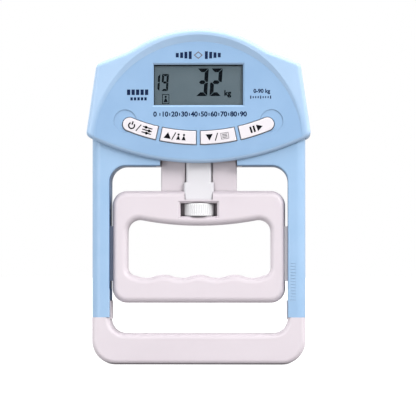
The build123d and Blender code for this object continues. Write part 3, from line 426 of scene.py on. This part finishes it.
# Colours of painted shade: the display panel inside its cove, the walls of the grip opening, white plastic
# that faces up, and the left side guide.
PANEL_SHADE = (0.678, 0.765, 0.838)
WALL_SHADE = (0.24, 0.34, 0.46)
UPWARD_SHADE = (0.73, 0.72, 0.73)
LEFT_GUIDE_SHADE = (0.16, 0.20, 0.28)
WARM_WHITE = (0.503, 0.457, 0.493)
KEY_WHITE = (0.543, 0.517, 0.545)
STEM_WHITE = (0.533, 0.524, 0.553)
WHEEL_WHITE = (0.598, 0.598, 0.610)
GREY = (0.57, 0.55, 0.58)


def lcd_glass():
    """Grey-green reflective display with faint clouding and a fine grain."""
    recipe = Recipe("lcd_glass")
    base = (0.091, 0.124, 0.145)
    clouds = recipe.noise(70.0, 3.0, 0.5)
    tint = recipe.blend(recipe.spread(clouds, 0.0, 1.0), darker(base, 0.05), lighter(base, 0.012))
    fine = recipe.noise(3200.0, 1.0, 0.5)
    tint = recipe.blend(recipe.spread(fine, 0.0, 0.25), tint, darker(base, 0.12))
    recipe.link(tint, recipe.shader.inputs["Base Color"])
    recipe.link(recipe.spread(clouds, 0.30, 0.38), recipe.shader.inputs["Roughness"])
    recipe.link(recipe.bump(fine, 0.05, 0.00001), recipe.shader.inputs["Normal"])
    recipe.set(Specular_IOR_Level=0.12)
    return recipe.material


def clear_pane():
    """Thin anti-glare acrylic over the display, nearly all of it see-through."""
    recipe = Recipe("clear_pane")
    recipe.set(Base_Color=(0.010, 0.014, 0.016, 1.0), Alpha=0.05)
    smears = recipe.noise(55.0, 4.0, 0.6)
    recipe.link(recipe.spread(smears, 0.06, 0.14), recipe.shader.inputs["Roughness"])
    return recipe.material


def printed_ink(name, colour, rough=0.5):
    """Screen-printed ink with slightly uneven cover."""
    recipe = Recipe(name)
    cover = recipe.noise(1500.0, 3.0, 0.6)
    recipe.link(
        recipe.blend(recipe.spread(cover, 0.0, 1.0), colour, lighter(colour, 0.002)),
        recipe.shader.inputs["Base Color"],
    )
    recipe.link(recipe.spread(cover, rough - 0.05, rough + 0.08), recipe.shader.inputs["Roughness"])
    recipe.set(Specular_IOR_Level=0.03)
    return recipe.material


def stage_white():
    """Plain pale floor. It glows to the eye, so that it meets the white surroundings without a line."""
    recipe = Recipe("stage_white")
    grain = recipe.noise(14.0, 3.0, 0.5)
    recipe.link(
        recipe.blend(recipe.spread(grain, 0.0, 1.0), (0.22, 0.22, 0.22), (0.24, 0.24, 0.24)),
        recipe.shader.inputs["Base Color"],
    )
    seen = recipe.add("ShaderNodeLightPath").outputs["Is Camera Ray"]
    recipe.link(recipe.math("MULTIPLY", seen, 0.94), recipe.shader.inputs["Emission Strength"])
    recipe.set(Roughness=0.9, Specular_IOR_Level=0.0, Emission_Color=(1.0, 1.0, 1.0, 1.0))
    return recipe.material


blue_plastic = moulded("blue_plastic", BLUE, rough=0.36, zone=opening_wall, tint=WALL_SHADE)
head_plastic = moulded("head_plastic", HEAD_BLUE, rough=0.36, zone=head_panel, tint=PANEL_SHADE)
white_plastic = moulded(
    "white_plastic", WARM_WHITE, rough=0.42, cloud=0.015, seam=0.6, zone=facing_up, tint=UPWARD_SHADE
)
stem_plastic = moulded("stem_plastic", STEM_WHITE, rough=0.34, cloud=0.01)
wheel_plastic = moulded("wheel_plastic", WHEEL_WHITE, rough=0.45, cloud=0.01, edge=0.00012)
key_plastic = moulded("key_plastic", KEY_WHITE, rough=0.38, grain=0.15, edge=0.00015, cloud=0.01)
grey_nylon = moulded("grey_nylon", GREY, rough=0.5, edge=0.00015)
guide_nylon_left_shade = moulded("guide_nylon_left_shade", GREY, rough=0.5, edge=0.00015, zone=left_side, tint=LEFT_GUIDE_SHADE)
lcd_face = lcd_glass()
pane = clear_pane()
navy_ink = printed_ink("navy_ink", (0.006, 0.014, 0.045))
black_ink = printed_ink("black_ink", (0.004, 0.004, 0.006))
grey_ink = printed_ink("grey_ink", (0.12, 0.115, 0.125))
segment_ink = printed_ink("segment_ink", (0.0004, 0.002, 0.004), 0.4)
# Black of a band painted round the display as the window edge's shadow.
shadow_band_black = printed_ink("shadow_band_black", (0.012, 0.017, 0.020))
nickel = metal("nickel_plate", (0.62, 0.61, 0.58), 0.28)
zinc = metal("zinc_plate", (0.56, 0.57, 0.59), 0.38, (1.0, 1.0, 12.0))
aluminium = metal("milled_aluminium", (0.66, 0.67, 0.68), 0.34, (14.0, 1.0, 1.0))
steel = metal("rolled_steel", (0.45, 0.46, 0.47), 0.26, (1.0, 1.0, 10.0))
brass = metal("turned_brass", (0.62, 0.43, 0.16), 0.30, (1.0, 1.0, 16.0))
silicone = moulded("silicone_black", (0.030, 0.030, 0.034), rough=0.6, seam=0.2)
epoxy = moulded("epoxy_black", (0.020, 0.020, 0.021), rough=0.55, edge=0.0001, seam=0.2)
red_cover = moulded("red_cover", (0.42, 0.020, 0.016), rough=0.42, edge=0.0001, seam=0.2)
black_cover = moulded("black_cover", (0.014, 0.014, 0.015), rough=0.42, edge=0.0001, seam=0.2)
gauge_film = moulded("gauge_film", (0.45, 0.17, 0.03), rough=0.35, edge=0.00008, seam=0.2)


def solder_mask():
    """Green board: mask over copper tracks that run square."""
    recipe = Recipe("solder_mask")
    board = (0.012, 0.110, 0.045)
    track = (0.030, 0.190, 0.080)
    cells = recipe.add("ShaderNodeTexBrick", offset=0.5, squash=1.0)
    mapping = recipe.add("ShaderNodeMapping")
    mapping.inputs["Rotation"].default_value = (math.radians(90), 0.0, 0.0)
    recipe.link(recipe.place, mapping.inputs["Vector"])
    recipe.link(mapping.outputs["Vector"], cells.inputs["Vector"])
    cells.inputs["Scale"].default_value = 260.0
    cells.inputs["Mortar Size"].default_value = 0.03
    recipe.link(recipe.blend(cells.outputs["Fac"], board, track), recipe.shader.inputs["Base Color"])
    fine = recipe.noise(1800.0, 2.0, 0.5)
    recipe.link(recipe.spread(fine, 0.22, 0.34), recipe.shader.inputs["Roughness"])
    recipe.link(recipe.bump(cells.outputs["Fac"], 0.4, 0.00004), recipe.shader.inputs["Normal"])
    return recipe.material


def cell_sleeve():
    """Dark battery sleeve with a copper band at the plus end and bare metal ends."""
    recipe = Recipe("cell_sleeve")
    along = recipe.math("ABSOLUTE", recipe.parts(recipe.place)["X"])
    band = recipe.spread(along, 0.0, 1.0, 0.0139, 0.0141)
    tip = recipe.spread(along, 0.0, 1.0, 0.0212, 0.0213)
    rub = recipe.noise(420.0, 4.0, 0.6)
    sleeve = recipe.blend(band, (0.012, 0.012, 0.015), (0.50, 0.24, 0.09))
    recipe.link(recipe.blend(tip, sleeve, (0.55, 0.55, 0.53)), recipe.shader.inputs["Base Color"])
    shine = recipe.math("MAXIMUM", recipe.math("MULTIPLY", band, 0.6), tip)
    recipe.link(shine, recipe.shader.inputs["Metallic"])
    recipe.link(recipe.spread(rub, 0.22, 0.36), recipe.shader.inputs["Roughness"])
    rounded = recipe.soft_edges(0.0002)
    recipe.link(recipe.bump(rub, 0.08, 0.00003, rounded), recipe.shader.inputs["Normal"])
    return recipe.material


finish_of_slot = {
    "blue_shell": blue_plastic,
    "white_shell": white_plastic,
    "stem_white": stem_plastic,
    "wheel_white": wheel_plastic,
    "key_white": key_plastic,
    "grey_nylon": grey_nylon,
    "clear_lens": pane,
    "lcd": lcd_face,
    "zebra": silicone,
    "board_green": solder_mask(),
    "chip_black": epoxy,
    "nickel": nickel,
    "cell_aluminium": aluminium,
    "gauge_film": gauge_film,
    "zinc_steel": zinc,
    "nut_brass": brass,
    "spindle_steel": steel,
    "lead_red": red_cover,
    "lead_black": black_cover,
    "cell_wrap": cell_sleeve(),
}
for part in frame["record"]["subparts"]:
    cad_mesh = nodes[part["node"]].data
    cad_mesh.materials.clear()
    cad_mesh.materials.append(finish_of_slot[part["material_slot"]])
nodes["head_front_cover"].data.materials[0] = head_plastic
nodes["side_guides"].data.materials[0] = guide_nylon_left_shade
floor.data.materials.append(stage_white())


# ---------------------------------------------------------------- printed marks
def circle(x, z, radius, steps=32):
    """Closed outline of a circle, in millimetres."""
    turns = [2 * math.pi * step / steps for step in range(steps)]
    return [(x + radius * math.cos(turn), z + radius * math.sin(turn)) for turn in turns]


def bar(x, z, width, height):
    """Closed outline of an upright rectangle about its middle."""
    left, right = x - width / 2, x + width / 2
    low, high = z - height / 2, z + height / 2
    return [(left, low), (right, low), (right, high), (left, high)]


def stroke(x1, z1, x2, z2, width):
    """Closed outline of a straight stroke from one point to another."""
    along = Vector((x2 - x1, z2 - z1)).normalized() * width / 2
    side = Vector((-along.y, along.x))
    start = [(x1 + side.x, z1 + side.y), (x1 - side.x, z1 - side.y)]
    end = [(x2 - side.x, z2 - side.y), (x2 + side.x, z2 + side.y)]
    return start + end


def diamond(x, z, width, height):
    """Closed outline of a diamond about its middle."""
    return [(x - width / 2, z), (x, z - height / 2), (x + width / 2, z), (x, z + height / 2)]


def arc_band(x, z, radius, width, first, last, steps=28):
    """Part of a ring, from the first angle to the last in degrees."""
    turns = [math.radians(first + (last - first) * step / steps) for step in range(steps + 1)]
    outer, inner = (
        [(x + reach * math.cos(turn), z + reach * math.sin(turn)) for turn in turns]
        for reach in (radius + width / 2, radius - width / 2)
    )
    return outer + inner[::-1]


def moved(outlines, x, z, turn=0.0):
    """Outlines turned by turn degrees about the origin and then moved."""
    cosine, sine = math.cos(math.radians(turn)), math.sin(math.radians(turn))
    return [
        [(x + px * cosine - pz * sine, z + px * sine + pz * cosine) for px, pz in outline]
        for outline in outlines
    ]


def upright(front):
    """Turns a flat drawing to stand in the XZ plane, facing the front at that depth."""
    return Matrix.Translation((0.0, front, 0.0)) @ Matrix.Rotation(math.pi / 2, 4, "X")


def drawn_mesh(data, placing):
    """The mesh of a curve or text, welded and moved."""
    holder = bpy.data.objects.new("holder", data)
    scene.collection.objects.link(holder)
    bpy.context.view_layer.update()
    graph = bpy.context.evaluated_depsgraph_get()
    mesh = bpy.data.meshes.new_from_object(holder.evaluated_get(graph))
    bpy.data.objects.remove(holder)
    mesh.transform(placing)
    return mesh


def outline_curve(outlines):
    """A filled flat curve with the thickness of ink. Outlines are in millimetres."""
    data = bpy.data.curves.new("outline", "CURVE")
    data.dimensions = "2D"
    data.fill_mode = "BOTH"
    data.extrude = INK / 2
    for outline in outlines:
        spline = data.splines.new("POLY")
        spline.points.add(len(outline) - 1)
        for point, (x, z) in zip(spline.points, outline):
            point.co = (x * MM, z * MM, 0.0, 1.0)
        spline.use_cyclic_u = True
    return data


CAPITAL_SHARE = 0.70  # height of a capital in a font of size 1
BOLDNESS = 0.052


def text_curve(words, height):
    """Plain generic figures in a slightly bold face, with capitals of that height in millimetres."""
    data = bpy.data.curves.new("figures", "FONT")
    data.body = words
    data.size = height * MM / CAPITAL_SHARE
    data.align_x = "CENTER"
    data.align_y = "CENTER"
    data.offset = BOLDNESS * MM * height
    data.extrude = INK / 2
    data.resolution_u = 6
    return data


def mark(name, body, front, material, outlines=(), figures=()):
    """One printed piece that rides on body: outlines, and figures as (words, height, x, z, turn)."""
    build = bmesh.new()
    parts = []
    if outlines:
        parts.append(drawn_mesh(outline_curve(outlines), upright(front)))
    for words, height, x, z, turn in figures:
        spot = Matrix.Translation((x * MM, z * MM, 0.0)) @ Matrix.Rotation(math.radians(turn), 4, "Z")
        parts.append(drawn_mesh(text_curve(words, height), upright(front) @ spot))
    for part in parts:
        build.from_mesh(part)
        bpy.data.meshes.remove(part)
    bmesh.ops.remove_doubles(build, verts=build.verts, dist=1e-7)
    bmesh.ops.recalc_face_normals(build, faces=build.faces)
    mesh = bpy.data.meshes.new(name)
    build.to_mesh(mesh)
    build.free()
    mesh.materials.append(material)
    piece = bpy.data.objects.new(name, mesh)
    scene.collection.objects.link(piece)
    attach(piece, body)


# ---------------------------------------------------------------- display digits
SEGMENTS = {
    "1": "bc",
    "2": "abged",
    "3": "abgcd",
    "9": "abfgcd",
}


def digit(figure, right, bottom, width, height, line, lean=3.5):
    """Seven-segment figure. Its segments are mitred bars with small gaps, leaning to the right."""
    middle = height / 2
    gap = line * 0.09
    half = line / 2

    def flat(z, way):
        """Top or bottom bar, whose long edge is at z."""
        return [
            (gap, z),
            (width - gap, z),
            (width - line - gap, z - way * line),
            (line + gap, z - way * line),
        ]

    def tall(x, way, end):
        """Half of a side, with its long edge at x, from the middle bar to the top or the bottom."""
        up = 1 if end > middle else -1
        return [
            (x, middle + up * gap),
            (x, end - up * gap),
            (x - way * line, end - up * (line + gap)),
            (x - way * line, middle + up * (half + gap)),
            (x - way * half, middle + up * gap),
        ]

    left_end, right_end = line + gap, width - line - gap
    crossbar = [(half + gap, middle), (left_end, middle + half), (right_end, middle + half)]
    crossbar += [(width - half - gap, middle), (right_end, middle - half), (left_end, middle - half)]
    shapes = {
        "a": flat(height, 1),
        "g": crossbar,
        "d": flat(0.0, -1),
        "b": tall(width, 1, height),
        "c": tall(width, 1, 0.0),
        "f": tall(0.0, -1, height),
        "e": tall(0.0, -1, 0.0),
    }
    slope = math.tan(math.radians(lean))
    left = right - width
    return [
        [(left + x + (z - middle) * slope, bottom + z) for x, z in shapes[segment]]
        for segment in SEGMENTS[figure]
    ]


def person(x, z, height):
    """Pictogram of a person: a round head over a body that widens downwards."""
    head = height * 0.17
    body = [(-0.08, 0.60), (0.08, 0.60), (0.33, 0.0), (-0.33, 0.0)]
    return [circle(x, z + height - head, head, 20), [(x + px * height, z + pz * height) for px, pz in body]]


def display_marks():
    """What the display shows: a user number, a reading with its unit, and a framed pictogram."""
    reading = {"bottom": 146.5, "height": 15.1, "line": 2.05}
    user = {"bottom": 149.3, "height": 9.3, "line": 1.15}
    outlines = digit("3", right=5.2, width=6.1, **reading)
    outlines += digit("2", right=12.8, width=6.3, **reading)
    outlines += digit("1", right=-21.1, width=3.6, **user)
    outlines += digit("9", right=-16.4, width=3.7, **user)
    front = LCD_FRONT - INK_LIFT
    mark("display_figures", "frame", front, segment_ink, outlines, [("kg", 2.9, 15.9, 148.0, 0.0)])
    box_x, box_z = -17.9, 144.9
    box = [bar(box_x, box_z, 3.9, 5.4), bar(box_x, box_z, 3.2, 4.7)[::-1]]
    mark("display_frame", "frame", front, segment_ink, box)
    # A black band painted round the display as the shadow of the window's edge. It is widest at the top,
    # where the window overhangs.
    window_shadow = [bar(0.0, 152.6, 50.6, 24.4), bar(0.0, 152.15, 48.0, 21.7)[::-1]]
    mark("display_shadow_band", "frame", front, shadow_band_black, window_shadow)
    mark("display_person", "frame", front, segment_ink, person(box_x, 143.2, 3.5))


# ---------------------------------------------------------------- panel print
def panel_marks():
    """A dial-like row of figures under the window, and plain ornaments where a maker would print."""
    front = PANEL_FRONT - INK / 2
    row_z = 136.4
    ornament_z = 168.7
    left, right = -23.6, 24.6
    step = (right - left) / 9
    figures = [(str(10 * index), 2.6, left + index * step, row_z, 0.0) for index in range(10)]
    dots = [bar(left + (index + 0.5) * step, row_z, 0.55, 1.6) for index in range(9)]
    mark("dial_figures", "frame", front, navy_ink, dots, figures)
    rising = []
    for side in (-1, 1):
        for index, height in enumerate((4.2, 3.6, 3.0, 2.4)):
            rising.append(bar(side * (4.4 + 2.35 * index), ornament_z, 1.6, height))
    mark("panel_bars", "frame", front, navy_ink, rising)
    lozenge = [diamond(0.0, ornament_z, 5.0, 4.2), diamond(0.0, ornament_z, 3.4, 2.86)[::-1]]
    mark("panel_lozenge", "frame", front, grey_ink, lozenge)
    squares = [bar(-38.0 + 2.45 * index, 148.5, 1.8, 3.0) for index in range(5)]
    squares += [bar(-36.4 + 1.9 * index, 144.9, 1.3, 1.7) for index in range(5)]
    mark("panel_blocks", "frame", front, navy_ink, squares)
    ticks = [bar(28.6 + 1.35 * index, 145.7, 0.6, 1.7 if index % 4 == 0 else 1.1) for index in range(9)]
    mark("panel_range", "frame", front, navy_ink, ticks, [("0-90 kg", 2.1, 34.6, 149.0, 0.0)])


# ---------------------------------------------------------------- key legends
KEY_ARC_Z = 222.6  # the keys stand on an arc about this height, in millimetres
KEY_ARC_RADIUS = 99.0


def on_key(outlines, angle, side):
    """Outlines on the middle line of the keys, angle degrees from straight down. side is -1 left, 1 right."""
    turn = math.radians(angle)
    x = side * KEY_ARC_RADIUS * math.sin(turn)
    z = KEY_ARC_Z - KEY_ARC_RADIUS * math.cos(turn)
    return moved(outlines, x, z, side * angle)


def arrow(size, direction):
    """Triangle that points up, down or right."""
    half = size / 2
    shapes = {
        "up": [(-half, -half * 0.9), (half, -half * 0.9), (0.0, half * 0.9)],
        "down": [(-half, half * 0.9), (0.0, -half * 0.9), (half, half * 0.9)],
        "right": [(-half * 0.9, -half), (half * 0.9, 0.0), (-half * 0.9, half)],
    }
    return [shapes[direction]]


def key_marks():
    """Icons in place of words: power and sliders, up and user, down and list, start."""
    front = KEY_FRONT - INK / 2
    slash = [stroke(-0.85, -2.1, 0.85, 2.1, 0.55)]
    power = [arc_band(0.0, -0.2, 1.6, 0.75, 130, 410), bar(0.0, 1.25, 0.75, 1.9)]
    sliders = []
    for row, knob in zip((1.5, 0.0, -1.5), (-1.0, 1.2, 0.1)):
        sliders.append(bar(0.0, row, 5.4, 0.6))
        sliders.append(circle(knob, row, 0.8, 20))
    outlines = on_key(power, 21.5, -1) + on_key(slash, 19.2, -1)
    mark("legend_power", "key_set", front, black_ink, outlines)
    mark("legend_sliders", "key_set", front, black_ink, on_key(sliders[0::2], 16.4, -1))
    mark("legend_knobs", "key_set", front, black_ink, on_key(sliders[1::2], 16.4, -1))
    outlines = on_key(arrow(3.9, "up"), 9.7, -1) + on_key(slash, 7.75, -1)
    outlines += on_key(person(-1.7, -1.7, 3.5) + person(1.3, -1.7, 3.5), 5.3, -1)
    mark("legend_up", "key_up", front, black_ink, outlines)
    outlines = on_key(arrow(3.9, "down"), 3.5, 1) + on_key(slash, 5.75, 1)
    mark("legend_down", "key_down", front, black_ink, outlines)
    page = [bar(0.0, 0.0, 4.4, 3.5), bar(0.0, 0.0, 3.8, 2.9)[::-1]]
    rows = [bar(0.0, height, 2.8, 0.45) for height in (0.8, 0.0, -0.8)]
    mark("legend_list", "key_down", front, grey_ink, on_key(page + rows, 8.4, 1))
    outlines = on_key(arrow(3.7, "right"), 19.8, 1)
    outlines += on_key([bar(-0.9, 0.0, 1.05, 3.5), bar(0.9, 0.0, 1.05, 3.5)], 17.4, 1)
    mark("legend_start", "key_start", front, black_ink, outlines)


display_marks()
panel_marks()
key_marks()


# ---------------------------------------------------------------- spindle thread and battery springs
def stack_of_rings(name, rings, material, body, stands_for):
    """A closed surface skinned over rings of points, which replaces a CAD node."""
    build = bmesh.new()
    before = None
    for ring in rings:
        now = [build.verts.new(point) for point in ring]
        if before is None:
            build.faces.new(now[::-1])
        else:
            for index, corner in enumerate(now):
                after = (index + 1) % len(now)
                build.faces.new((before[index], before[after], now[after], corner))
        before = now
    build.faces.new(before)
    bmesh.ops.recalc_face_normals(build, faces=build.faces)
    for face in build.faces:
        face.smooth = len(face.verts) == 4
    mesh = bpy.data.meshes.new(name)
    build.to_mesh(mesh)
    build.free()
    mesh.materials.append(material)
    piece = bpy.data.objects.new(name, mesh)
    scene.collection.objects.link(piece)
    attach(piece, body)
    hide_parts(stands_for)


def threaded_spindle():
    """The spindle: a plain shank, and above it a screw thread that turns in the brass nut."""
    low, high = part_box("spindle")
    radius = high.x
    thread_start = 112.0 * MM
    pitch = 1.5 * MM
    thread_depth = 0.75 * MM
    flank = 2.6  # steepness of the thread's sides
    end_fade = 0.6  # share of the depth left at the upper end
    lead_in = 0.8 * MM
    chamfer = 0.3 * MM
    sides = 40
    rows_per_turn = 10
    heights = [low.z, low.z + chamfer, thread_start - lead_in]
    rows = round((high.z - thread_start) / pitch * rows_per_turn)
    heights += [thread_start + (high.z - thread_start) * row / rows for row in range(rows + 1)]
    rings = []
    for z in heights:
        ring = []
        for side in range(sides):
            share = side / sides
            phase = (z / pitch - share) % 1.0
            begun = max(0.0, (z - thread_start) / pitch)
            ending = max(0.0, (high.z - z) / pitch) + end_fade
            cut = thread_depth * min(1.0, flank * abs(phase - 0.5)) * min(1.0, begun, ending)
            reach = radius - cut
            if z == low.z:
                reach = radius - chamfer
            if high.z - z < lead_in:
                reach = min(reach, radius - lead_in + (high.z - z))
            turn = 2 * math.pi * share
            ring.append((reach * math.cos(turn), reach * math.sin(turn), z))
        rings.append(ring)
    stack_of_rings("spindle_thread", rings, steel, "wheel", "spindle")


def coil_springs():
    """Two coil springs of round wire that press the battery cells against their contacts."""
    low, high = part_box("battery_springs")
    wire = 0.34 * MM  # radius of the wire
    coil = 3.0 * MM  # radius of the coil
    inset = 3.4 * MM  # from the coil's middle to the end of the pair
    turns = 4.0
    steps = 160
    sides = 10
    depth = (low.y + high.y) / 2
    length = 3.6 * MM
    for way, wall_x, z in ((1, low.x, low.z + inset), (-1, high.x, high.z - inset)):
        rings = []
        for step in range(steps + 1):
            share = step / steps
            turn = 2 * math.pi * turns * share
            rise = wire + (length - 2 * wire) * share
            ring = []
            for side in range(sides):
                around = 2 * math.pi * side / sides
                reach = coil + wire * math.cos(around)
                along = wall_x + way * (rise + wire * math.sin(around))
                ring.append((along, depth + reach * math.cos(turn), z + reach * math.sin(turn)))
            rings.append(ring)
        name = "spring_left" if way > 0 else "spring_right"
        stack_of_rings(name, rings, nickel, "frame", "battery_springs")


threaded_spindle()
coil_springs()
